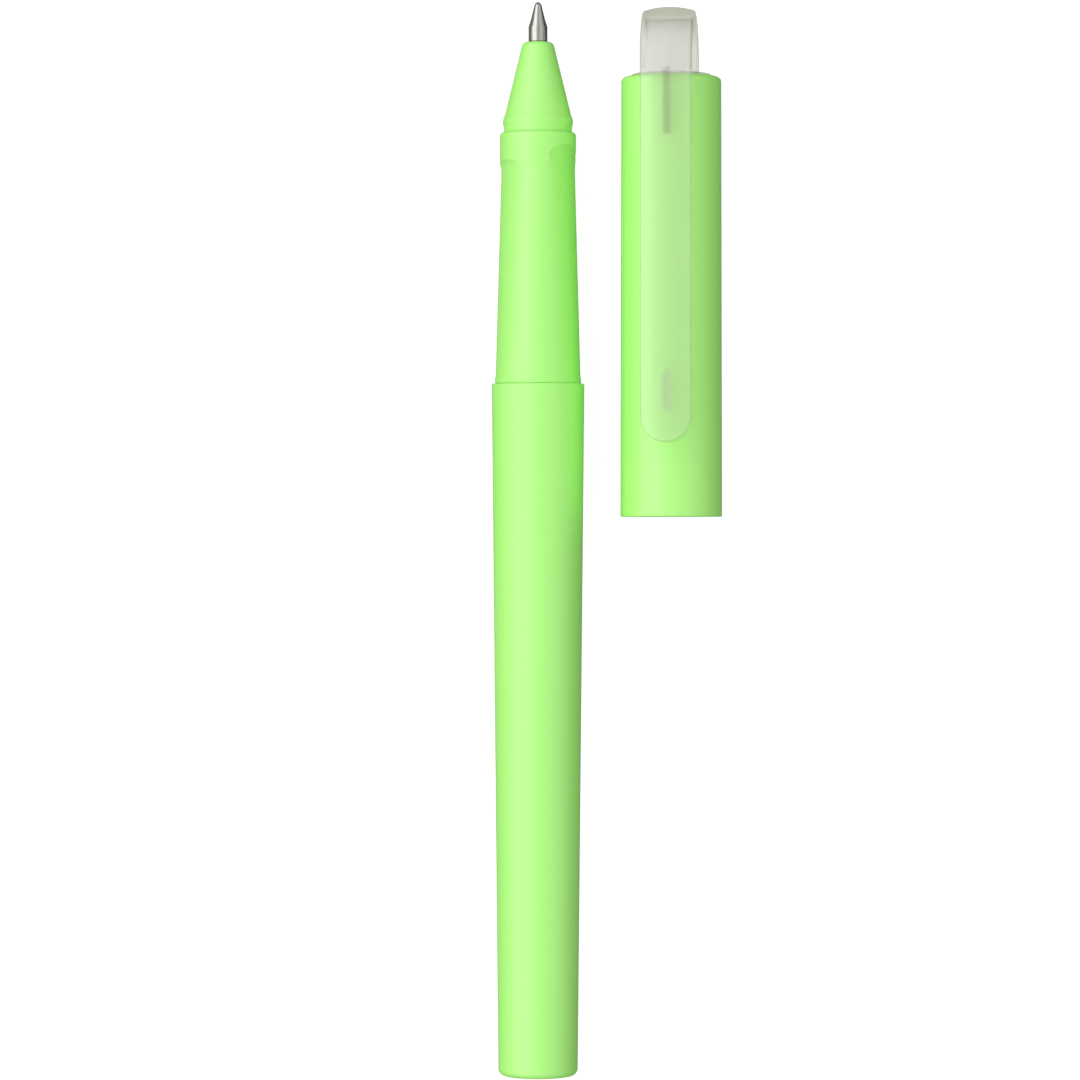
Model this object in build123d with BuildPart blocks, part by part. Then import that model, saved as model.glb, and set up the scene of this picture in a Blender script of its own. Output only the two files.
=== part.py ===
from build123d import *
from math import atan, cos, radians, sin, sqrt
import os

# Capped gel pen with a frosted loop clip; the cap lies beside the pen, its mouth
# pointing the same way as the tail. All sizes are in millimetres.
# Frame: +X towards the cap, +Y towards the writing tip, +Z up, table at Z = 0,
# origin at the middle of the whole object's footprint.
# Every turned piece is drawn in its own axis plane: local x is the radius and
# local y the station along the axis, so that one revolve makes it.

# ------------------------------------------------------------- driving sizes
# Stations along the pen, measured from its mid-length
TIP = 67.225
POINT_WAIST = 65.1
SHANK_TOP = 64.1
NOSE_FACE = 62.22
CONE_FOOT = 53.0
BEAD = 52.3
NECK = 51.6
GRIP_FACE = 50.92
COLLAR_FOOT = 47.5
LIP_TOP = 20.3
BARREL_FACE = 19.55
TAIL_FACE = -67.02

# Radii of the pen
BARREL_R = 5.8
TAIL_R = 4.965
LIP_R = 5.38
COLLAR_R = 4.75
NECK_R = 4.25
BEAD_R = 4.375
CONE_FOOT_R = 4.15
CONE_TOP_R = 1.9
SHANK_R = 1.185
POINT_WAIST_R = 0.87
BALL_R = 0.35

# Soft finger facets of the grip: (direction around the axis, start of its front flare)
FACETS = ((32, 47.9), (152, 46.1), (272, 46.1))
FACET_R = 8.0
FACET_REAR = 5.24
FACET_FRONT = 4.24
RIDGE_REAR = 5.33
RIDGE_FRONT = 4.73
FACET_FLARE = 2.0
FLARE_TURN = 60
FLARE_STEPS = 8

# Hidden fits of the pen
GRIP_SPIGOT_R = 4.5
GRIP_SPIGOT_END = 10.4
BARREL_BORE_FRONT_R = 4.35
BARREL_BORE_REAR_R = 3.7
TAIL_SPIGOT_R = 3.85
TAIL_SPIGOT_END = -59.5
TAIL_CUP_R = 3.2
TAIL_WALL = 1.0
TAIL_DOME_R = 36.3
NOSE_SPIGOT_R = 3.6
NOSE_SPIGOT_END = 44.7
NOSE_BORE_R = 2.6

# Nose thread, one start
THREAD_PITCH = 1.0
THREAD_DEPTH = 0.28
THREAD_WIDTH = 0.62
THREAD_CREST = 0.16

# Refill
TUBE_R = 3.05
TUBE_BORE_R = 2.5
REFILL_LENGTH = 129.5
HOLDER_R = 2.45
HOLDER_FRONT = 59.2
HOLDER_FRONT_R = 1.55
HOLDER_CONE_FOOT = 54.5
FLANGE_TOP = 44.55
FLANGE_FOOT = 43.75
FLANGE_R = 3.0
HOLDER_END = 38.8
HOLDER_BORE_R = 0.95
TIP_BODY_END = 56.5
INK_END = -30.0
FOLLOWER_LENGTH = 6.0
POINT_BORE_R = 0.75
POINT_BORE_TOP = 63.2
POINT_CHANNEL_R = 0.2
POINT_CHANNEL_TOP = 66.3
CRIMP_R = 0.44
SPRING_WIRE_R = 0.07
SPRING_WIRE_SIDES = 8
SPRING_COIL_R = 0.5
SPRING_PITCH = 0.4
SPRING_FOOT = 57.0
SPRING_COIL_TOP = 62.2

# Cap, stations measured from its mouth
CAP_LENGTH = 54.9
CAP_MOUTH_R = 6.35
CAP_TOP_R = 6.25
CAP_BORE_R = 5.5
CAP_BORE_END = 31.0
CAP_LEDGE = 48.9
CAP_MOUTH_Y = 2.9
AXIS_DISTANCE = 16.65
PLUG_R = 5.0
PLUG_PROUD = 0.35
PLUG_WALL = 1.0
LINER_MOUTH = 31.5
LINER_TOP = 49.9
LINER_R = 4.9
LINER_BORE_R = 4.4
LINER_LEAD = 2.0
LINER_THROAT_R = 3.6
SEAL_R = 2.0
SEAL_FACE = 47.8
SEAL_THICKNESS = 1.2

# Clip: heights from the cap's axis, stations from the cap's mouth
CLIP_ROLL = 6.3
CLIP_WIDTH = 6.45
CLIP_CROWN = 0.5
CLIP_THICKNESS = 1.5
CLIP_TOP = 9.0
CLIP_BACK = -4.1
CLIP_APEX = 63.4
CLIP_END = 9.16
RIB_WIDTH = 0.87
RIB_ENDS = (47.3, 55.5)
RIB_HEIGHT = 0.9
BUMP_WIDTH = 1.1
BUMP_ENDS = (13.0, 18.0)

# Clearances
RUNNING = 0.05
FIXED = 0.03
HAIRLINE = 0.02
LOOSE = 0.15

# Edge rounds
BARREL_EDGE = 0.25
TAIL_EDGE = 0.85
COLLAR_EDGE = 0.45
NOSE_EDGE = 0.65
CAP_RIM_EDGE = 0.6
CAP_MOUTH_EDGE = 0.2
SOFT_EDGE = 0.25

# ------------------------------------------------------------- shared frame
# The barrel is a slender cone that lies on its side, so the axis rises to the tip.
BARREL_SLOPE = (BARREL_R - TAIL_R) / (BARREL_FACE - TAIL_FACE)
PEN_TILT = atan(BARREL_SLOPE)
PEN_HEIGHT = (BARREL_R - BARREL_SLOPE * BARREL_FACE) * cos(PEN_TILT)
PEN_X = (BARREL_R - CAP_MOUTH_R - AXIS_DISTANCE) / 2
CAP_X = PEN_X + AXIS_DISTANCE
PEN = Plane((PEN_X, 0, PEN_HEIGHT), x_dir=(1, 0, 0), z_dir=(0, -sin(PEN_TILT), cos(PEN_TILT)))
PEN_AXIS = Axis(PEN.origin, PEN.y_dir)
CAP = Plane((CAP_X, CAP_MOUTH_Y, CAP_MOUTH_R), x_dir=(1, 0, 0), z_dir=(0, 0, 1))
CAP_AXIS = Axis(CAP.origin, CAP.y_dir)

# Side view of the clip: local x points out through the clip, local y runs up the cap.
CLIP_SIDE = CAP.rotated((0, -90 - CLIP_ROLL, 0))

os.makedirs("parts", exist_ok=True)

# ------------------------------------------------------------- barrel
# Tapered tube with a socket for the grip section and another for the tail plug
with BuildPart() as barrel:
    with BuildSketch(PEN):
        with BuildLine():
            Polyline(
                (GRIP_SPIGOT_R + FIXED, BARREL_FACE),
                (BARREL_R, BARREL_FACE),
                (TAIL_R, TAIL_FACE),
                (TAIL_SPIGOT_R + FIXED, TAIL_FACE),
                (TAIL_SPIGOT_R + FIXED, TAIL_SPIGOT_END + FIXED),
                (BARREL_BORE_REAR_R, TAIL_SPIGOT_END + FIXED),
                (BARREL_BORE_FRONT_R, GRIP_SPIGOT_END - FIXED),
                (GRIP_SPIGOT_R + FIXED, GRIP_SPIGOT_END - FIXED),
                close=True,
            )
        make_face()
    revolve(axis=PEN_AXIS)
    rims = barrel.edges().filter_by(GeomType.CIRCLE).sort_by(PEN_AXIS)
    outer_rims = rims.filter_by(lambda rim: rim.radius > TAIL_R - FIXED)
    fillet(outer_rims.last, BARREL_EDGE)
    fillet(outer_rims.first, TAIL_EDGE)
barrel.part.label = "barrel"
export_step(barrel.part, "parts/barrel.step")

# ------------------------------------------------------------- tail plug
# Slightly domed plug, flush in the rounded end, with a cup that centres the refill's rear
with BuildPart() as tail_plug:
    with BuildSketch(PEN):
        with BuildLine():
            dome = RadiusArc((0, -TIP), (TAIL_SPIGOT_R, TAIL_FACE), TAIL_DOME_R)
            Polyline(
                dome @ 1,
                (TAIL_SPIGOT_R, TAIL_SPIGOT_END),
                (TAIL_CUP_R, TAIL_SPIGOT_END),
                (TAIL_CUP_R, TAIL_FACE + TAIL_WALL),
                (0, TAIL_FACE + TAIL_WALL),
                dome @ 0,
            )
        make_face()
    revolve(axis=PEN_AXIS)
tail_plug.part.label = "tail_plug"
export_step(tail_plug.part, "parts/tail_plug.step")

# ------------------------------------------------------------- grip section
# Sleeve with a plain collar and a waist of three soft facets. Each facet is a wide
# arc of one radius, and the ridges between them are rounded into it.
FLARE_ANGLES = [radians(FLARE_TURN * step / FLARE_STEPS) for step in range(FLARE_STEPS + 1)]
FLARE_STATIONS = [
    flare_start + FACET_FLARE * sin(angle) for _, flare_start in FACETS for angle in FLARE_ANGLES
]


def along_waist(station, rear, front):
    """Size at a station, for one that changes evenly from the lip to the collar"""
    return rear + (front - rear) * (station - LIP_TOP) / (COLLAR_FOOT - LIP_TOP)


def facet_reach(station, flare_start):
    """Distance from the axis to the middle of a facet, which flares out at its front end"""
    into_flare = min(max(0, station - flare_start), FACET_FLARE)
    rise = FACET_FLARE - sqrt(FACET_FLARE**2 - into_flare**2)
    return along_waist(station, FACET_REAR, FACET_FRONT) + rise


def ridge_round(station):
    """Radius that is tangent to two facets and just reaches the ridge's distance"""
    reach = along_waist(station, RIDGE_REAR, RIDGE_FRONT)
    offset = FACET_R - along_waist(station, FACET_REAR, FACET_FRONT)
    return (FACET_R**2 - reach**2 - reach * offset - offset**2) / (2 * (FACET_R - reach) - offset)


with BuildPart() as grip_section:
    for station in sorted({LIP_TOP, GRIP_FACE, *FLARE_STATIONS}):
        across = Plane(PEN.from_local_coords((0, station, 0)), x_dir=PEN.x_dir, z_dir=-PEN.y_dir)
        with BuildSketch(across) as waist:
            Circle(FACET_R)
            for direction, flare_start in FACETS:
                offset = FACET_R - facet_reach(station, flare_start)
                angle = radians(direction)
                with Locations((-offset * cos(angle), -offset * sin(angle))):
                    Circle(FACET_R, mode=Mode.INTERSECT)
            fillet(waist.vertices(), ridge_round(station))
    loft(ruled=True)
    with BuildSketch(PEN):
        with BuildLine():
            Polyline(
                (0, LIP_TOP),
                (LIP_R, LIP_TOP),
                (COLLAR_R, COLLAR_FOOT),
                (COLLAR_R, GRIP_FACE),
                (0, GRIP_FACE),
                close=True,
            )
        make_face()
    revolve(axis=PEN_AXIS, mode=Mode.INTERSECT)
    fillet(grip_section.edges().filter_by(GeomType.CIRCLE).sort_by(PEN_AXIS).last, COLLAR_EDGE)
    with BuildSketch(PEN):
        with BuildLine():
            Polyline(
                (0, GRIP_SPIGOT_END),
                (GRIP_SPIGOT_R, GRIP_SPIGOT_END),
                (GRIP_SPIGOT_R, BARREL_FACE + FIXED),
                (LIP_R, BARREL_FACE + FIXED),
                (LIP_R, LIP_TOP),
                (0, LIP_TOP),
                close=True,
            )
        make_face()
    revolve(axis=PEN_AXIS)
    with BuildSketch(PEN):
        with BuildLine():
            Polyline(
                (0, GRIP_SPIGOT_END),
                (TUBE_R + LOOSE, GRIP_SPIGOT_END),
                (TUBE_R + LOOSE, NOSE_SPIGOT_END - LOOSE),
                (NOSE_SPIGOT_R + RUNNING, NOSE_SPIGOT_END - LOOSE),
                (NOSE_SPIGOT_R + RUNNING, GRIP_FACE),
                (0, GRIP_FACE),
                close=True,
            )
        make_face()
    revolve(axis=PEN_AXIS, mode=Mode.SUBTRACT)
grip_section.part.label = "grip_section"
export_step(grip_section.part, "parts/grip_section.step")

# ------------------------------------------------------------- nose cone
# Cone with a snap bead for the cap's liner and a threaded spigot
THREAD_ROOT_R = NOSE_SPIGOT_R - THREAD_DEPTH
THREAD_START = NOSE_SPIGOT_END + THREAD_WIDTH
THREAD_LENGTH = GRIP_FACE - THREAD_START - THREAD_PITCH
with BuildPart() as nose_cone:
    with BuildSketch(PEN):
        with BuildLine():
            face = Line((SHANK_R + RUNNING, NOSE_FACE), (CONE_TOP_R, NOSE_FACE))
            cone = Line(face @ 1, (CONE_FOOT_R, CONE_FOOT))
            bead = ThreePointArc(cone @ 1, (BEAD_R, BEAD), (NECK_R, NECK))
            Polyline(
                bead @ 1,
                (NECK_R, GRIP_FACE + FIXED),
                (THREAD_ROOT_R, GRIP_FACE + FIXED),
                (THREAD_ROOT_R, NOSE_SPIGOT_END),
                (NOSE_BORE_R, NOSE_SPIGOT_END),
                (NOSE_BORE_R, HOLDER_CONE_FOOT),
                (HOLDER_FRONT_R + LOOSE, HOLDER_FRONT + LOOSE),
                (SHANK_R + RUNNING, HOLDER_FRONT + LOOSE),
                face @ 0,
            )
        make_face()
    revolve(axis=PEN_AXIS)
    face_rims = nose_cone.edges().filter_by(GeomType.CIRCLE).group_by(PEN_AXIS)[-1]
    fillet(face_rims.sort_by(SortBy.RADIUS).last, NOSE_EDGE)
    thread_foot = PEN.from_local_coords((0, THREAD_START, 0))
    with BuildLine() as thread:
        Helix(THREAD_PITCH, THREAD_LENGTH, THREAD_ROOT_R, thread_foot, PEN.y_dir)
    outward = thread.line @ 0 - thread_foot
    with BuildSketch(Plane(thread.line @ 0, x_dir=outward, z_dir=outward.cross(PEN.y_dir))):
        with BuildLine():
            Polyline(
                (-RUNNING, -THREAD_WIDTH / 2),
                (THREAD_DEPTH, -THREAD_CREST / 2),
                (THREAD_DEPTH, THREAD_CREST / 2),
                (-RUNNING, THREAD_WIDTH / 2),
                close=True,
            )
        make_face()
    sweep(path=thread.line, is_frenet=True)
nose_cone.part.label = "nose_cone"
export_step(nose_cone.part, "parts/nose_cone.step")

# ------------------------------------------------------------- tip body
# Turned steel point: ball socket, ink channel and a wide bore for the spring
BALL_Y = TIP - BALL_R
SOCKET_R = BALL_R + HAIRLINE
SOCKET_START = -70
SOCKET_END = 20
with BuildPart() as tip_body:
    with BuildSketch(PEN):
        with BuildLine():
            socket = CenterArc((0, BALL_Y), SOCKET_R, SOCKET_START, SOCKET_END - SOCKET_START)
            Polyline(
                socket @ 1,
                (CRIMP_R, BALL_Y),
                (POINT_WAIST_R, POINT_WAIST),
                (SHANK_R, SHANK_TOP),
                (SHANK_R, TIP_BODY_END),
                (POINT_BORE_R, TIP_BODY_END),
                (POINT_BORE_R, POINT_BORE_TOP),
                (POINT_CHANNEL_R, POINT_BORE_TOP + POINT_CHANNEL_R),
                (POINT_CHANNEL_R, POINT_CHANNEL_TOP),
                socket @ 0,
            )
        make_face()
    revolve(axis=PEN_AXIS)
tip_body.part.label = "tip_body"
export_step(tip_body.part, "parts/tip_body.step")

# ------------------------------------------------------------- tip ball
with BuildPart() as tip_ball:
    with Locations(PEN.from_local_coords((0, BALL_Y, 0))):
        Sphere(BALL_R)
tip_ball.part.label = "tip_ball"
export_step(tip_ball.part, "parts/tip_ball.step")

# ------------------------------------------------------------- tip spring
# Coil with a straight needle that presses the ball forward onto its seat. The wire's
# section is an eight-sided polygon.
spring_foot = PEN.from_local_coords((0, SPRING_FOOT, 0))
needle_foot = PEN.from_local_coords((0, SPRING_COIL_TOP, 0))
needle_length = BALL_Y - BALL_R - HAIRLINE - SPRING_COIL_TOP
with BuildPart() as tip_spring:
    with BuildLine() as coil:
        Helix(SPRING_PITCH, SPRING_COIL_TOP - SPRING_FOOT, SPRING_COIL_R, spring_foot, PEN.y_dir)
    with BuildSketch(Plane(coil.line @ 0, z_dir=coil.line % 0)):
        RegularPolygon(SPRING_WIRE_R, SPRING_WIRE_SIDES)
    sweep(path=coil.line, is_frenet=True)
    with BuildSketch(Plane(coil.line @ 1, z_dir=needle_foot - coil.line @ 1)):
        RegularPolygon(SPRING_WIRE_R, SPRING_WIRE_SIDES)
    extrude(amount=SPRING_COIL_R + SPRING_WIRE_R)
    with BuildSketch(Plane(needle_foot, z_dir=PEN.y_dir)):
        RegularPolygon(SPRING_WIRE_R, SPRING_WIRE_SIDES)
    extrude(amount=needle_length)
tip_spring.part.label = "tip_spring"
export_step(tip_spring.part, "parts/tip_spring.step")

# ------------------------------------------------------------- tip holder
# Moulded adapter that carries the steel point and plugs into the ink tube
with BuildPart() as tip_holder:
    with BuildSketch(PEN):
        with BuildLine():
            Polyline(
                (SHANK_R + HAIRLINE, HOLDER_FRONT),
                (HOLDER_FRONT_R, HOLDER_FRONT),
                (HOLDER_R, HOLDER_CONE_FOOT),
                (HOLDER_R, FLANGE_TOP),
                (FLANGE_R, FLANGE_TOP),
                (FLANGE_R, FLANGE_FOOT),
                (TUBE_BORE_R - HAIRLINE, FLANGE_FOOT),
                (TUBE_BORE_R - HAIRLINE, HOLDER_END),
                (HOLDER_BORE_R, HOLDER_END),
                (HOLDER_BORE_R, TIP_BODY_END - HAIRLINE),
                (SHANK_R + HAIRLINE, TIP_BODY_END - HAIRLINE),
                close=True,
            )
        make_face()
    revolve(axis=PEN_AXIS)
tip_holder.part.label = "tip_holder"
export_step(tip_holder.part, "parts/tip_holder.step")

# ------------------------------------------------------------- ink tube
REFILL_END = TIP - REFILL_LENGTH
with BuildPart() as ink_tube:
    with BuildSketch(Plane(PEN.from_local_coords((0, REFILL_END, 0)), z_dir=PEN.y_dir)):
        Circle(TUBE_R)
        Circle(TUBE_BORE_R, mode=Mode.SUBTRACT)
    extrude(amount=FLANGE_FOOT - HAIRLINE - REFILL_END)
ink_tube.part.label = "ink_tube"
export_step(ink_tube.part, "parts/ink_tube.step")

# ------------------------------------------------------------- ink
# Column in the tube that also fills the channel through the holder
with BuildPart() as ink:
    with BuildSketch(PEN):
        with BuildLine():
            Polyline(
                (0, INK_END),
                (TUBE_BORE_R - HAIRLINE, INK_END),
                (TUBE_BORE_R - HAIRLINE, HOLDER_END - HAIRLINE),
                (HOLDER_BORE_R - HAIRLINE, HOLDER_END - HAIRLINE),
                (HOLDER_BORE_R - HAIRLINE, TIP_BODY_END - RUNNING),
                (0, TIP_BODY_END - RUNNING),
                close=True,
            )
        make_face()
    revolve(axis=PEN_AXIS)
ink.part.label = "ink"
export_step(ink.part, "parts/ink.step")

# ------------------------------------------------------------- ink follower
# Plug of clear grease that follows the ink down the tube
with BuildPart() as ink_follower:
    follower_top = PEN.from_local_coords((0, INK_END - HAIRLINE, 0))
    with BuildSketch(Plane(follower_top, z_dir=-PEN.y_dir)):
        Circle(TUBE_BORE_R - HAIRLINE)
    extrude(amount=FOLLOWER_LENGTH)
ink_follower.part.label = "ink_follower"
export_step(ink_follower.part, "parts/ink_follower.step")

# ------------------------------------------------------------- cap tube
# Open tube with a slight draft; the liner's flange rests on a ledge near the top
with BuildPart() as cap_tube:
    with BuildSketch(CAP):
        with BuildLine():
            Polyline(
                (CAP_BORE_R, 0),
                (CAP_MOUTH_R, 0),
                (CAP_TOP_R, CAP_LENGTH),
                (PLUG_R + FIXED, CAP_LENGTH),
                (PLUG_R + FIXED, CAP_LEDGE),
                (LINER_R + FIXED, CAP_LEDGE),
                (LINER_R + FIXED, CAP_BORE_END),
                (CAP_BORE_R, CAP_BORE_END),
                close=True,
            )
        make_face()
    revolve(axis=CAP_AXIS)
    rims = cap_tube.edges().filter_by(GeomType.CIRCLE).sort_by(CAP_AXIS)
    top_rim = rims.filter_by(lambda rim: abs(rim.radius - CAP_TOP_R) < FIXED)
    mouth_rims = rims.group_by(CAP_AXIS)[0]
    fillet(top_rim, CAP_RIM_EDGE)
    fillet(mouth_rims, CAP_MOUTH_EDGE)
cap_tube.part.label = "cap_tube"
export_step(cap_tube.part, "parts/cap_tube.step")

# ------------------------------------------------------------- cap plug
# Frosted disc closing the cap, hollow underneath, slightly proud of the rim
PLUG_TOP = CAP_LENGTH + PLUG_PROUD
with BuildPart() as cap_plug:
    with BuildSketch(CAP):
        with BuildLine():
            Polyline(
                (0, PLUG_TOP),
                (PLUG_R, PLUG_TOP),
                (PLUG_R, LINER_TOP + FIXED),
                (PLUG_R - PLUG_WALL, LINER_TOP + FIXED),
                (PLUG_R - PLUG_WALL, PLUG_TOP - CLIP_THICKNESS),
                (0, PLUG_TOP - CLIP_THICKNESS),
                close=True,
            )
        make_face()
    revolve(axis=CAP_AXIS)
    fillet(cap_plug.edges().filter_by(GeomType.CIRCLE).sort_by(CAP_AXIS).last, PLUG_PROUD / 2)
cap_plug.part.label = "cap_plug"
export_step(cap_plug.part, "parts/cap_plug.step")

# ------------------------------------------------------------- inner cap
# Liner that snaps over the nose cone's bead and keeps the tip airtight
SEAL_BACK = SEAL_FACE + SEAL_THICKNESS + FIXED
with BuildPart() as inner_cap:
    with BuildSketch(CAP):
        with BuildLine():
            Polyline(
                (0, LINER_TOP),
                (PLUG_R, LINER_TOP),
                (PLUG_R, CAP_LEDGE + FIXED),
                (LINER_R, CAP_LEDGE + FIXED),
                (LINER_R, LINER_MOUTH),
                (LINER_BORE_R, LINER_MOUTH),
                (LINER_BORE_R, LINER_MOUTH + LINER_LEAD),
                (LINER_THROAT_R, SEAL_FACE),
                (SEAL_R + FIXED, SEAL_FACE),
                (SEAL_R + FIXED, SEAL_BACK),
                (0, SEAL_BACK),
                close=True,
            )
        make_face()
    revolve(axis=CAP_AXIS)
    mouth_rims = inner_cap.edges().filter_by(GeomType.CIRCLE).group_by(CAP_AXIS)[0]
    fillet(mouth_rims, CAP_MOUTH_EDGE)
inner_cap.part.label = "inner_cap"
export_step(inner_cap.part, "parts/inner_cap.step")

# ------------------------------------------------------------- tip seal
# Soft rubber pad that the ball rests against when the cap is on
with BuildPart() as tip_seal:
    with BuildSketch(Plane(CAP.from_local_coords((0, SEAL_FACE, 0)), z_dir=CAP.y_dir)):
        Circle(SEAL_R)
    extrude(amount=SEAL_THICKNESS)
tip_seal.part.label = "tip_seal"
export_step(tip_seal.part, "parts/tip_seal.step")

# ------------------------------------------------------------- clip
# One strip: up from the back of the plug, over in an arch and down the front,
# with a stiffening rib near the top and a contact bump near the rounded end
STRIP_UNDER = CLIP_TOP - CLIP_THICKNESS
LEG_INNER = CLIP_BACK + CLIP_THICKNESS
ARCH_R = (STRIP_UNDER - LEG_INNER) / 2
ARCH_FOOT = CLIP_APEX - CLIP_THICKNESS - ARCH_R
HALF_WIDTH = CLIP_WIDTH / 2
CLIP_MOUTH_SIDE = Plane(
    CLIP_SIDE.from_local_coords((STRIP_UNDER, CLIP_END, 0)),
    x_dir=CLIP_SIDE.z_dir,
    z_dir=CLIP_SIDE.y_dir,
)
CLIP_INSIDE = Plane(
    CLIP_SIDE.from_local_coords((STRIP_UNDER + RUNNING, 0, 0)),
    x_dir=CLIP_SIDE.y_dir,
    z_dir=-CLIP_SIDE.x_dir,
)
with BuildPart() as clip:
    with BuildLine(CLIP_SIDE) as route:
        front = Line((STRIP_UNDER, CLIP_END), (STRIP_UNDER, ARCH_FOOT))
        arch = JernArc(front @ 1, front % 1, ARCH_R, 180)
        Line(arch @ 1, (LEG_INNER, PLUG_TOP + HAIRLINE))
    with BuildSketch(CLIP_MOUTH_SIDE):
        with BuildLine():
            edge = CLIP_THICKNESS - CLIP_CROWN
            Polyline((-HALF_WIDTH, edge), (-HALF_WIDTH, 0), (HALF_WIDTH, 0), (HALF_WIDTH, edge))
            ThreePointArc((HALF_WIDTH, edge), (0, CLIP_THICKNESS), (-HALF_WIDTH, edge))
        section = make_face()
        fillet(section.vertices(), SOFT_EDGE)
    sweep(path=route.line)
    with BuildSketch(CLIP_INSIDE):
        with Locations((CLIP_END + HALF_WIDTH, 0)):
            Circle(HALF_WIDTH)
            Rectangle(CLIP_APEX, CLIP_WIDTH + LOOSE, align=(Align.MIN, Align.CENTER))
    extrude(amount=CLIP_TOP - CLIP_BACK, both=True, mode=Mode.INTERSECT)
    with BuildSketch(CLIP_INSIDE):
        with Locations((sum(RIB_ENDS) / 2, 0)):
            Rectangle(RIB_ENDS[1] - RIB_ENDS[0], RIB_WIDTH)
    extrude(amount=RIB_HEIGHT + RUNNING)
    with BuildSketch(CLIP_INSIDE):
        with Locations((sum(BUMP_ENDS) / 2, 0)):
            SlotOverall(BUMP_ENDS[1] - BUMP_ENDS[0], BUMP_WIDTH)
    extrude(amount=STRIP_UNDER - CAP_MOUTH_R)
clip.part.label = "clip"
export_step(clip.part, "parts/clip.step")
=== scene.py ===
import math

import bpy
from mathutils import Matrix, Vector

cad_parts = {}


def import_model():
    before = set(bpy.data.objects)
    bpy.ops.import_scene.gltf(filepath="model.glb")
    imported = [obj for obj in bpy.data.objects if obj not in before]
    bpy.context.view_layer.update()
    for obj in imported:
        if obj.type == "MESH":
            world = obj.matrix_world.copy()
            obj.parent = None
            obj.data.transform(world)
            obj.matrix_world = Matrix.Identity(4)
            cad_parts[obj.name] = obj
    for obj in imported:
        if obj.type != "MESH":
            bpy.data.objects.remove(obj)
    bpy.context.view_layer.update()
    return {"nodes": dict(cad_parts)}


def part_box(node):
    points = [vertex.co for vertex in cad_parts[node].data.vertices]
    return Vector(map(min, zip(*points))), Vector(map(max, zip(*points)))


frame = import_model()

MM = 0.001
Y_AXIS = Vector((0.0, 1.0, 0.0))

# The clip leans round the cap's axis. Its heights are measured from that axis.
CLIP_ROLL = math.radians(6.3)
HALF_WIDTH = 3.225 * MM
STRIP_UNDERSIDE = 7.5 * MM
RIB_HEIGHTS = (STRIP_UNDERSIDE - 3.0 * MM, STRIP_UNDERSIDE - 0.05 * MM)
LEG_TO_STRIP = (0.0, 4.0 * MM)  # where the arch passes from its leg to its strip
LONE_WIDTH = 0.93 * MM  # edge of the strip or the leg with nothing above or below it
LONE_BLUR = (-0.2 * MM, 0.2 * MM)
# Painted shade along the strip's rim.
EDGE_WIDTH = (0.20 * MM, 0.34 * MM)  # darker rim of the strip: left, right
EDGE_FADE = (0.6, 1.0)  # shares of its width between which the rim fades out

# Zones along the clip where its painted shade changes, each (start, full), from the cap's
# rim or from the arch's top.
FREE_ZONE = (-0.4 * MM, 0.4 * MM)
ARCH_ZONE = (-4.4 * MM, -1.6 * MM)
BEND_ZONE = (-4.4 * MM, -2.7 * MM)
APEX_ZONE = (-2.5 * MM, -1.3 * MM)
RIB_END = 1.5 * MM
BUMP_TO_RIB = -15.0 * MM

# Tones of the clip; all but the tone over the cap and the bump's are painted shade. From
# above, two surfaces lie behind each other where the strip or the leg is alone, and four
# elsewhere, so the lone parts get darker painted shade to look alike. The greyer free part,
# the bends, the arch, the apex, the rim and the rib are painted shade of light lost through
# the plastic.
OVER_CAP = (0.97, 0.92, 0.90)
STANDING_FREE_SHADE = (0.75, 0.755, 0.70)
LONE_STRIP_SHADE, LONE_STRIP_BEND_SHADE = (0.52, 0.53, 0.46), (0.45, 0.47, 0.36)
LONE_LEG_SHADE, LONE_LEG_BEND_SHADE = (0.65, 0.66, 0.54), (0.42, 0.44, 0.28)
ARCH_SHADE, ARCH_SHADE_SHARE = (0.44, 0.47, 0.32), 0.12
APEX_SHADE = (0.365, 0.415, 0.15)
EDGE_SHADE_LEFT, EDGE_SHADE_RIGHT = (0.56, 0.60, 0.46), (0.68, 0.70, 0.58)
EDGE_SHADE_FREE = (0.42, 0.47, 0.34)
# Painted shade on the rib, darkest past the cap's rim.
RIB_SHADE, RIB_FREE_SHADE = (0.60, 0.49, 0.45), (0.20, 0.27, 0.03)
BUMP = (0.99, 0.86, 0.90)

# What both frosted mouldings share.
FROST_ROUGHNESS = (0.30, 0.34)
FROST_IOR = 1.45
FROST_ALPHA = 0.5
CLEAR, DENSE = 0.85, 0.50  # transmission of thin and of thick plastic

LIME_TONES = (0.405, 0.970, 0.180), (0.420, 0.985, 0.190)
FROST_TONES = (0.62, 0.64, 0.52), (0.66, 0.68, 0.56)
STEEL_TONES = (0.45, 0.44, 0.40), (0.535, 0.525, 0.48)
# Painted shade on the steel at the nose's mouth.
STEEL_MOUTH_SHADE = (0.12, 0.13, 0.10)

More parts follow.
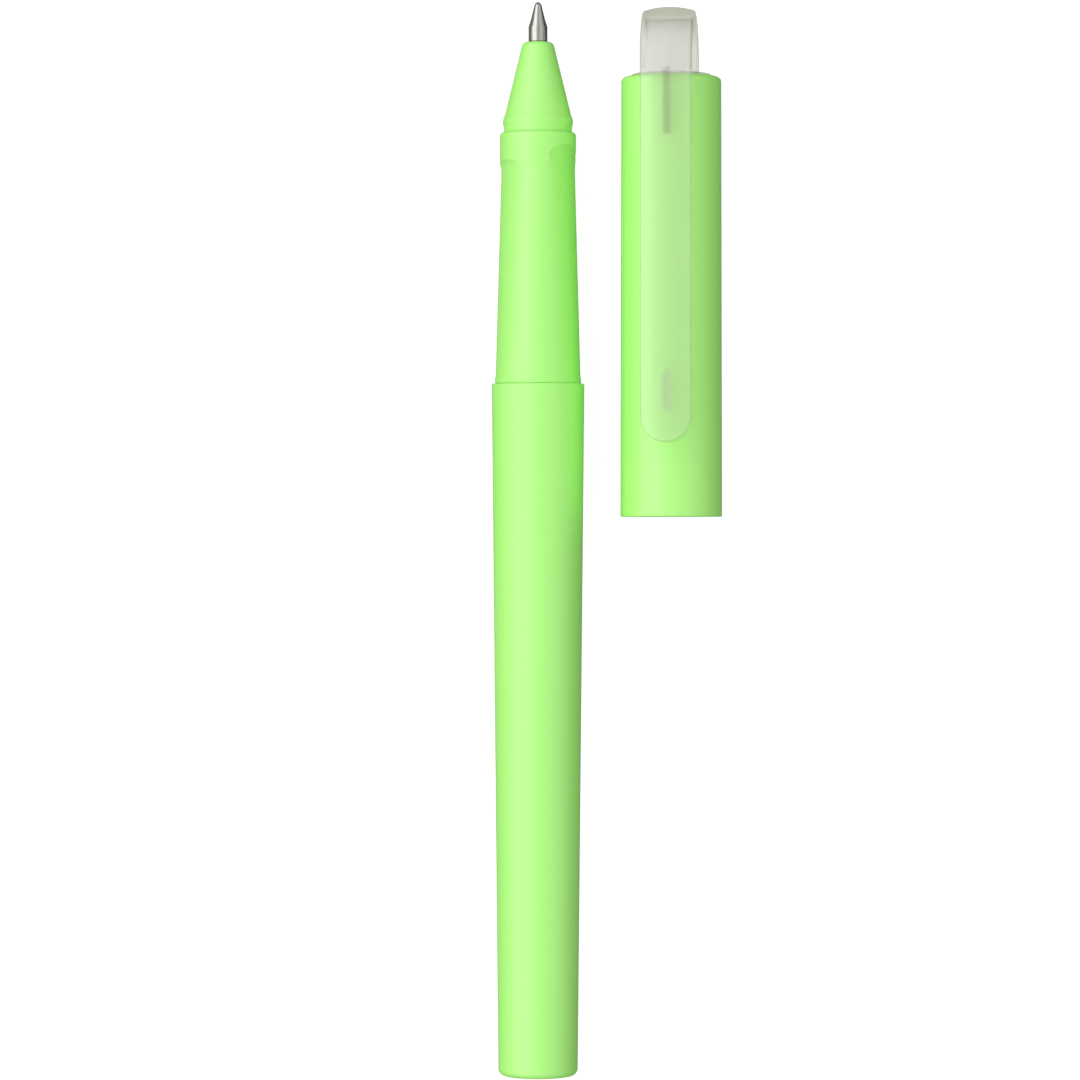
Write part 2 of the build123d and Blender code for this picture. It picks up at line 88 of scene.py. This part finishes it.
# The pieces inside, each material with its node, two tones, roughness and what else differs.
METAL = {"metallic": 1.0}
INNER_PIECES = {
    "ball_carbide": ("tip_ball", (0.20, 0.20, 0.21), (0.26, 0.26, 0.27), 0.12, METAL),
    "spring_steel": ("tip_spring", (0.50, 0.50, 0.50), (0.62, 0.62, 0.61), 0.25, METAL),
    "liner_plastic": ("inner_cap", (0.80, 0.81, 0.79), (0.85, 0.86, 0.84), 0.45, {}),
    "seal_rubber": ("tip_seal", (0.02, 0.02, 0.02), (0.035, 0.035, 0.035), 0.75, {}),
    "holder_plastic": ("tip_holder", (0.78, 0.80, 0.78), (0.84, 0.85, 0.83), 0.35, {}),
    "tube_plastic": (
        "ink_tube", (0.85, 0.88, 0.88), (0.90, 0.92, 0.92), 0.15, {"transmission": 0.8},
    ),
    "ink_gel": ("ink", (0.16, 0.62, 0.02), (0.20, 0.70, 0.03), 0.10, {}),
    "follower_grease": (
        "ink_follower", (0.80, 0.76, 0.55), (0.86, 0.82, 0.62), 0.15, {"transmission": 0.6},
    ),
}

# Soft lights beside the object: name, from and to angle (degrees from straight up, to the
# right) and radiance. The first two make one light that is brighter in its middle.
SOFTBOXES = (
    ("key", -78, -10, 0.66),
    ("key_core", -64, -26, 0.66),
    ("fill", 20, 56, 0.28),
)
LIGHT_DISTANCE = 0.6
LIGHT_LENGTH = 1.6
LIGHT_AHEAD = 0.25  # how far the lights' middle lies towards the pen's tip
SKY = (0.64, 0.61)  # left, right
BOUNCE = (0.28, 0.10)
HORIZON_BLUR = 0.1

FLOOR_SIZE = 6.0
LENS_MM, SENSOR_MM = 155.0, 36.0
CAMERA_ABOVE_AXIS = 581.0 * MM
CAMERA_PAST_PEN = 0.25 * MM


# ------------------------------------------------------------- material helpers
class Tree:
    """A new material's node tree, with short calls for the nodes used here."""

    def __init__(self, name):
        self.material = bpy.data.materials.new(name)
        self.material.use_nodes = True
        self.nodes = self.material.node_tree.nodes
        self.links = self.material.node_tree.links
        self.shader = self.nodes["Principled BSDF"]
        self.place = self.nodes.new("ShaderNodeTexCoord").outputs["Object"]

    def set(self, **values):
        """Constants on the shader's own sockets."""
        for name, value in values.items():
            self.shader.inputs[name.replace("_", " ")].default_value = value

    def link(self, source, socket):
        self.links.new(source, self.shader.inputs[socket])

    def stretched(self, scale):
        """Object coordinates, scaled differently along each axis."""
        node = self.nodes.new("ShaderNodeMapping")
        node.inputs["Scale"].default_value = scale
        self.links.new(self.place, node.inputs["Vector"])
        return node.outputs["Vector"]

    def noise(self, size, rough=0.55, vector=None):
        """Noise whose largest features are about size metres."""
        node = self.nodes.new("ShaderNodeTexNoise")
        node.inputs["Scale"].default_value = 1.0 / size
        node.inputs["Detail"].default_value = 2.0
        node.inputs["Roughness"].default_value = rough
        self.links.new(vector or self.place, node.inputs["Vector"])
        return node.outputs["Fac"]

    def ranged(self, value, low, high, from_low=0.3, from_high=0.7):
        """From low to high while value goes from from_low to from_high, by default the
        middle of a noise."""
        node = self.nodes.new("ShaderNodeMapRange")
        node.inputs["From Min"].default_value = from_low
        node.inputs["From Max"].default_value = from_high
        node.inputs["To Min"].default_value = low
        node.inputs["To Max"].default_value = high
        self.links.new(value, node.inputs["Value"])
        return node.outputs["Result"]

    def zone(self, value, origin, span, share=1.0):
        """0 before the span, share after it. The span is (start, full) from origin."""
        start, full = span
        return self.ranged(value, 0.0, share, origin + start, origin + full)

    def mixed(self, factor, a, b):
        """Colour a where factor is 0, b where it is 1."""
        node = self.nodes.new("ShaderNodeMix")
        node.data_type = "RGBA"
        self.links.new(factor, node.inputs["Factor"])
        for socket, colour in ((node.inputs["A"], a), (node.inputs["B"], b)):
            if isinstance(colour, tuple):
                socket.default_value = (*colour, 1.0)
            else:
                self.links.new(colour, socket)
        return node.outputs["Result"]

    def math(self, operation, a, b=0.0):
        node = self.nodes.new("ShaderNodeMath")
        node.operation = operation
        for socket, value in zip(node.inputs, (a, b)):
            if isinstance(value, float):
                socket.default_value = value
            else:
                self.links.new(value, socket)
        return node.outputs["Value"]

    def product(self, first, *others):
        for other in others:
            first = self.math("MULTIPLY", first, other)
        return first

    def along(self, direction, origin):
        """How far a point lies from origin along a direction, in metres."""
        node = self.nodes.new("ShaderNodeVectorMath")
        node.operation = "DOT_PRODUCT"
        node.inputs[1].default_value = direction
        self.links.new(self.place, node.inputs[0])
        return self.math("SUBTRACT", node.outputs["Value"], direction.dot(origin))

    def bump(self, height, depth, strength):
        """Relief of a depth in metres."""
        node = self.nodes.new("ShaderNodeBump")
        node.inputs["Distance"].default_value = depth
        node.inputs["Strength"].default_value = strength
        self.links.new(height, node.inputs["Height"])
        self.link(node.outputs["Normal"], "Normal")


# ------------------------------------------------------------- materials
def green_plastic():
    """Satin lime moulding: spark-eroded grain, faint flow marks, slightly waxy."""
    tree = Tree("green_plastic")
    flow = tree.noise(size=9.0 * MM, vector=tree.stretched((1.0, 0.25, 1.0)))
    grain = tree.noise(size=0.14 * MM, rough=0.6)
    tree.link(tree.mixed(flow, *LIME_TONES), "Base Color")
    tree.link(tree.ranged(grain, low=0.40, high=0.48), "Roughness")
    tree.bump(grain, depth=0.002 * MM, strength=0.4)
    tree.set(IOR=1.7, Specular_IOR_Level=0.75)
    return tree.material


def frosted_plastic():
    """Frosted translucent moulding with a faint olive tint."""
    tree = Tree("frosted_plastic")
    cloud = tree.noise(size=4.0 * MM)
    tree.link(tree.mixed(cloud, *FROST_TONES), "Base Color")
    tree.link(tree.ranged(cloud, *FROST_ROUGHNESS), "Roughness")
    tree.set(Transmission_Weight=CLEAR, IOR=FROST_IOR, Alpha=FROST_ALPHA)
    return tree.material


def clip_plastic():
    """The same moulding as it looks in the clip: clear over the cap, with painted shade that
    makes it greyer where it stands free, olive in the arch and darker along its edges and on
    its rib, and with a denser rib and bump below."""
    tree = Tree("clip_plastic")
    low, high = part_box("clip")
    cap_low, cap_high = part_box("cap_tube")
    axis = Vector(((cap_low.x + cap_high.x) / 2, 0.0, (cap_low.z + cap_high.z) / 2))
    side = tree.along(Vector((math.cos(CLIP_ROLL), 0.0, math.sin(CLIP_ROLL))), axis)
    height = tree.along(Vector((-math.sin(CLIP_ROLL), 0.0, math.cos(CLIP_ROLL))), axis)
    along = tree.along(Y_AXIS, Vector())

    free = tree.zone(along, cap_high.y, FREE_ZONE)
    arch = tree.zone(along, high.y, ARCH_ZONE, ARCH_SHADE_SHARE)
    bend = tree.zone(along, high.y, BEND_ZONE)
    apex = tree.zone(along, high.y, APEX_ZONE)
    in_leg = tree.ranged(height, 1.0, 0.0, *LEG_TO_STRIP)
    inner = HALF_WIDTH - LONE_WIDTH
    lone_strip = tree.product(
        tree.math("SUBTRACT", 1.0, tree.zone(side, -inner, LONE_BLUR)),
        tree.math("SUBTRACT", 1.0, in_leg),
    )
    lone_leg = tree.product(tree.zone(side, inner, LONE_BLUR), in_leg)
    rib_low, rib_high = RIB_HEIGHTS
    rib = tree.product(
        tree.math("LESS_THAN", height, rib_high),
        tree.math("LESS_THAN", along, cap_high.y + RIB_END),
        tree.math("GREATER_THAN", height, rib_low),
    )
    rib_not_bump = tree.math("GREATER_THAN", along, cap_high.y + BUMP_TO_RIB)

    # The rim's painted shade follows the strip's sides and its round end.
    past_centre = tree.math("SUBTRACT", along, low.y + HALF_WIDTH)
    past_centre = tree.math("MINIMUM", past_centre, 0.0)
    reach = tree.math(
        "ADD", tree.product(side, side), tree.product(past_centre, past_centre)
    )
    rim = tree.math("SUBTRACT", HALF_WIDTH, tree.math("SQRT", reach))
    rim_width = tree.ranged(side, *EDGE_WIDTH, -HALF_WIDTH, HALF_WIDTH)
    rim_shade = tree.ranged(tree.math("DIVIDE", rim, rim_width), 1.0, 0.0, *EDGE_FADE)

    # Painted shade: greyer where the clip stands free, darker where the strip or the leg is
    # alone, darker still in the bends, olive in the arch and at the apex.
    open_shade = tree.mixed(
        lone_strip, STANDING_FREE_SHADE, tree.mixed(bend, LONE_STRIP_SHADE, LONE_STRIP_BEND_SHADE)
    )
    open_shade = tree.mixed(lone_leg, open_shade, tree.mixed(bend, LONE_LEG_SHADE, LONE_LEG_BEND_SHADE))
    colour = tree.mixed(free, OVER_CAP, open_shade)
    colour = tree.mixed(arch, colour, ARCH_SHADE)
    colour = tree.mixed(apex, colour, APEX_SHADE)
    # Painted shade along the rim: darker on the left than on the right, darker still where
    # the clip stands free.
    edge_shade_tone = tree.zone(side, 0.0, (-HALF_WIDTH, HALF_WIDTH))
    edge_shade_tone = tree.mixed(edge_shade_tone, EDGE_SHADE_LEFT, EDGE_SHADE_RIGHT)
    colour = tree.mixed(rim_shade, colour, tree.mixed(free, edge_shade_tone, EDGE_SHADE_FREE))
    # Painted shade on the rib, darkest where it stands past the cap's rim; the bump keeps
    # its own pale tone.
    rib_shade_tone = tree.mixed(free, RIB_SHADE, RIB_FREE_SHADE)
    colour = tree.mixed(rib, colour, tree.mixed(rib_not_bump, BUMP, rib_shade_tone))
    tree.link(colour, "Base Color")

    cloud = tree.noise(size=4.0 * MM)
    tree.link(tree.ranged(cloud, *FROST_ROUGHNESS), "Roughness")
    dense = tree.math("MAXIMUM", free, rib)
    tree.link(tree.ranged(dense, CLEAR, DENSE, 0.0, 1.0), "Transmission Weight")
    tree.set(IOR=FROST_IOR, Alpha=FROST_ALPHA)
    return tree.material


def turned_steel():
    """Bright stainless steel with fine turning marks round its axis, and painted shade where
    it enters the nose's mouth.
    """
    tree = Tree("turned_steel")
    marks = tree.noise(
        size=0.05 * MM, rough=0.7, vector=tree.stretched((0.03, 1.0, 0.03))
    )
    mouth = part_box("nose_cone")[1].y
    along = tree.along(Y_AXIS, Vector((0.0, mouth, 0.0)))
    # Painted shade where the steel leaves the nose: full up to 0.02 mm past the nose's face,
    # gone by 0.18 mm.
    shade = tree.ranged(along, 1.0, 0.0, from_low=0.02 * MM, from_high=0.18 * MM)
    colour = tree.mixed(marks, *STEEL_TONES)
    tree.link(tree.mixed(shade, colour, STEEL_MOUTH_SHADE), "Base Color")
    tree.link(tree.ranged(marks, low=0.12, high=0.20), "Roughness")
    tree.bump(marks, depth=0.002 * MM, strength=0.3)
    tree.set(Metallic=1.0)
    return tree.material


def inner_material(name, dark, light, roughness, metallic=0.0, transmission=0.0):
    """For a piece inside: two close tones, a fine grain and its own gloss."""
    tree = Tree(name)
    grain = tree.noise(size=0.2 * MM)
    tree.link(tree.mixed(grain, dark, light), "Base Color")
    tree.link(tree.ranged(grain, roughness - 0.04, roughness + 0.04), "Roughness")
    tree.bump(grain, depth=0.003 * MM, strength=0.3)
    tree.set(Metallic=metallic, Transmission_Weight=transmission)
    return tree.material


def dress(material, *nodes):
    """Give CAD nodes a material, smoothly shaded."""
    for name in nodes:
        mesh = frame["nodes"][name].data
        mesh.materials.clear()
        mesh.materials.append(material)
        mesh.shade_smooth()


dress(green_plastic(), "barrel", "tail_plug", "grip_section", "nose_cone", "cap_tube")
dress(frosted_plastic(), "cap_plug")
dress(clip_plastic(), "clip")
dress(turned_steel(), "tip_body")
for name, (node, dark, light, roughness, extras) in INNER_PIECES.items():
    dress(inner_material(name, dark, light, roughness, **extras), node)


# ------------------------------------------------------------- stage
def floor():
    """A white table with an even glow of its own, which the object doesn't reflect."""
    bpy.ops.mesh.primitive_plane_add(size=FLOOR_SIZE, location=(0, 0, 0))
    plane = bpy.context.object
    plane.name = "floor"
    tree = Tree("floor")
    tree.set(Roughness=0.9, Specular_IOR_Level=0.2, Emission_Strength=0.92)
    tree.set(Base_Color=(0.25, 0.25, 0.25, 1.0), Emission_Color=(1.0, 1.0, 1.0, 1.0))
    plane.data.materials.append(tree.material)
    plane.visible_glossy = False
    plane.visible_diffuse = False


def softbox(name, low, high, radiance):
    """A long soft light along the object, across the sky from one angle to another."""
    middle, half = math.radians(low + high) / 2, math.radians(high - low) / 2
    light = bpy.data.lights.new(name, "AREA")
    light.shape = "RECTANGLE"
    light.size = 2 * LIGHT_DISTANCE * math.tan(half)
    light.size_y = LIGHT_LENGTH
    light.energy = radiance * math.pi * light.size * light.size_y
    lamp = bpy.data.objects.new(name, light)
    lamp.location = (
        LIGHT_DISTANCE * math.sin(middle), LIGHT_AHEAD, LIGHT_DISTANCE * math.cos(middle)
    )
    lamp.rotation_euler = (0.0, middle, 0.0)
    lamp.visible_camera = False
    bpy.context.scene.collection.objects.link(lamp)


def world():
    """Even light from above and a dim bounce from below."""
    scene_world = bpy.data.worlds.new("studio")
    bpy.context.scene.world = scene_world
    scene_world.use_nodes = True
    nodes, links = scene_world.node_tree.nodes, scene_world.node_tree.links
    split = nodes.new("ShaderNodeSeparateXYZ")
    links.new(nodes.new("ShaderNodeTexCoord").outputs["Generated"], split.inputs["Vector"])
    level = nodes.new("ShaderNodeMapRange")
    level.inputs["From Min"].default_value = -HORIZON_BLUR
    level.inputs["From Max"].default_value = HORIZON_BLUR
    links.new(split.outputs["Z"], level.inputs["Value"])
    for (left, right), end in ((BOUNCE, "To Min"), (SKY, "To Max")):
        side = nodes.new("ShaderNodeMapRange")
        side.inputs["From Min"].default_value = -1.0
        side.inputs["To Min"].default_value = left
        side.inputs["To Max"].default_value = right
        links.new(split.outputs["X"], side.inputs["Value"])
        links.new(side.outputs["Result"], level.inputs[end])
    links.new(level.outputs["Result"], nodes["Background"].inputs["Strength"])
    nodes["Background"].inputs["Color"].default_value = (1.0, 1.0, 1.0, 1.0)


def camera():
    """Straight above the pen, its long side up the picture."""
    pen_low, pen_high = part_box("barrel")
    cap_low, cap_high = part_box("cap_tube")
    data = bpy.data.cameras.new("camera")
    data.sensor_width = SENSOR_MM
    data.lens = LENS_MM
    cam = bpy.data.objects.new("camera", data)
    pen_x = (pen_low.x + pen_high.x) / 2
    axis_height = (cap_high.z + cap_low.z) / 2
    cam.location = (pen_x + CAMERA_PAST_PEN, 0.0, axis_height + CAMERA_ABOVE_AXIS)
    data.clip_start, data.clip_end = 0.01, 10.0
    bpy.context.scene.collection.objects.link(cam)
    bpy.context.scene.camera = cam


floor()
for name, low, high, radiance in SOFTBOXES:
    softbox(name, low, high, radiance)
world()
camera()
bpy.context.scene.view_settings.view_transform = "Standard"
